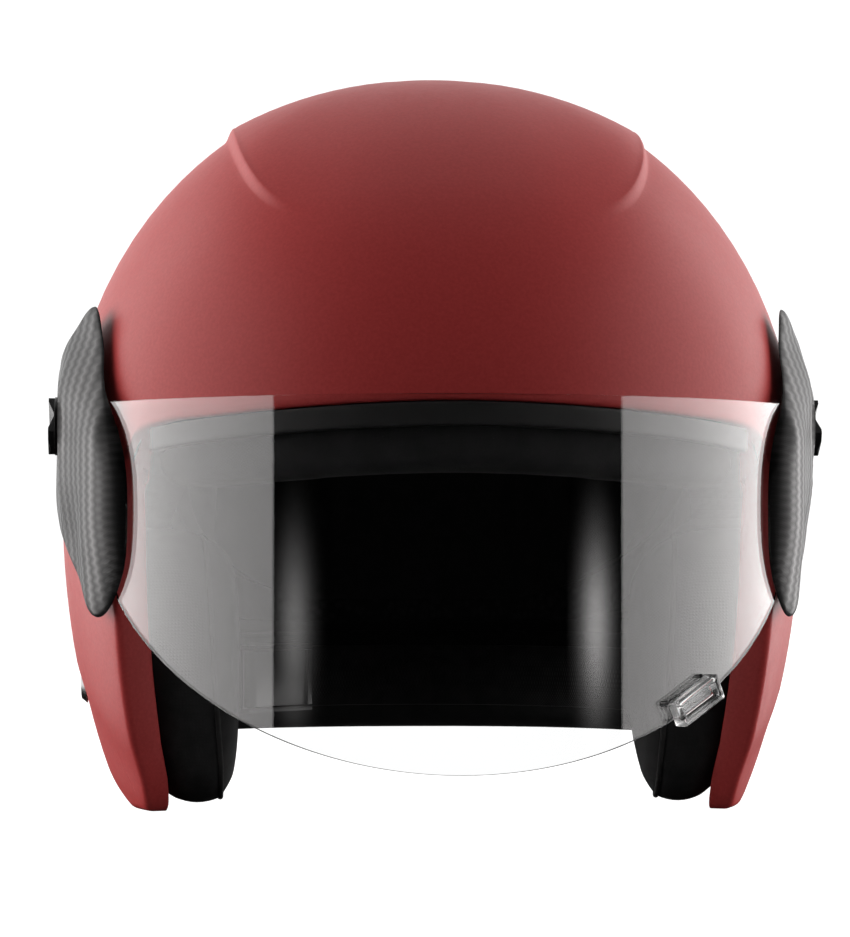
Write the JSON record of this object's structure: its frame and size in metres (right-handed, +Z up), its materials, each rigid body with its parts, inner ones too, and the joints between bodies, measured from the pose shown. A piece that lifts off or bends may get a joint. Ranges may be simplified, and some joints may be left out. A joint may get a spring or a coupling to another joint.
{
  "type": "open-face motorcycle helmet",
  "caption": "Open-face helmet with a rounded shell, raised crown panel, padded lining, chin strap and a clear visor that swings up with its side covers.",
  "frame": {"origin": "middle of the footprint, at the level of the lowest rim (the cheek tips)", "axes": "+Z up, -Y the way the wearer faces, +X to the wearer's left"},
  "size_m": [0.2588, 0.2998, 0.246],
  "materials": {
    "shell_paint": "satin red paint with a fine grain",
    "liner_foam": "dark moulded foam",
    "pad_fabric": "black knitted lining cloth",
    "edge_trim": "soft black edge strip",
    "cover_weave": "clear-coated grey weave",
    "pivot_plastic": "black moulded",
    "bearing_plastic": "natural low-friction plastic",
    "knob_plastic": "black moulded, fine texture",
    "visor_clear": "clear polished sheet",
    "webbing": "woven black webbing",
    "spacer_rubber": "black",
    "lever_plastic": "red moulded",
    "steel": "plain zinc-plated"
  },
  "bodies": {
    "helmet": {"outer_shell": "shell_paint", "impact_liner": "liner_foam", "crown_pad": "pad_fabric", "brow_pad": "pad_fabric", "brow_trim": "edge_trim", "neck_roll": "pad_fabric", "left_cheek_pad": "pad_fabric", "right_cheek_pad": "pad_fabric", "left_pivot_cup": "pivot_plastic", "right_pivot_cup": "pivot_plastic", "left_pivot_hub": "bearing_plastic", "right_pivot_hub": "bearing_plastic", "left_friction_ring": "bearing_plastic", "right_friction_ring": "bearing_plastic", "left_lock_nut": "steel", "right_lock_nut": "steel", "hub_screws": "steel", "strap_rivets": "steel", "strap_spacers": "spacer_rubber", "left_strap": "webbing", "right_strap": "webbing", "buckle_body": "steel", "buckle_pin": "steel", "ratchet_tongue": "steel"},
    "visor": {"visor": "visor_clear", "left_side_cover": "cover_weave", "right_side_cover": "cover_weave"},
    "left_knob": {"left_knob": "knob_plastic"},
    "right_knob": {"right_knob": "knob_plastic"},
    "buckle_lever": {"buckle_lever": "lever_plastic"}
  },
  "joints": [
    {"name": "visor_hinge", "type": "hinge", "parent": "helmet", "child": "visor", "pos_m": [0, -0.028, 0.127], "axis": [-1, 0, 0], "range_deg": [0, 45]},
    {"name": "left_knob_turn", "type": "hinge", "parent": "helmet", "child": "left_knob", "pos_m": [0.12637, -0.028, 0.127], "axis": [1, 0, 0], "range_deg": [0, 90]},
    {"name": "right_knob_turn", "type": "hinge", "parent": "helmet", "child": "right_knob", "pos_m": [-0.12637, -0.028, 0.127], "axis": [-1, 0, 0], "range_deg": [0, 90]},
    {"name": "buckle_lever_hinge", "type": "hinge", "parent": "helmet", "child": "buckle_lever", "pos_m": [-0.06026, 0.05837, 0.04], "axis": [0, 0, -1], "range_deg": [0, 35], "stiffness_Nm_per_rad": 0.03}
  ]
}
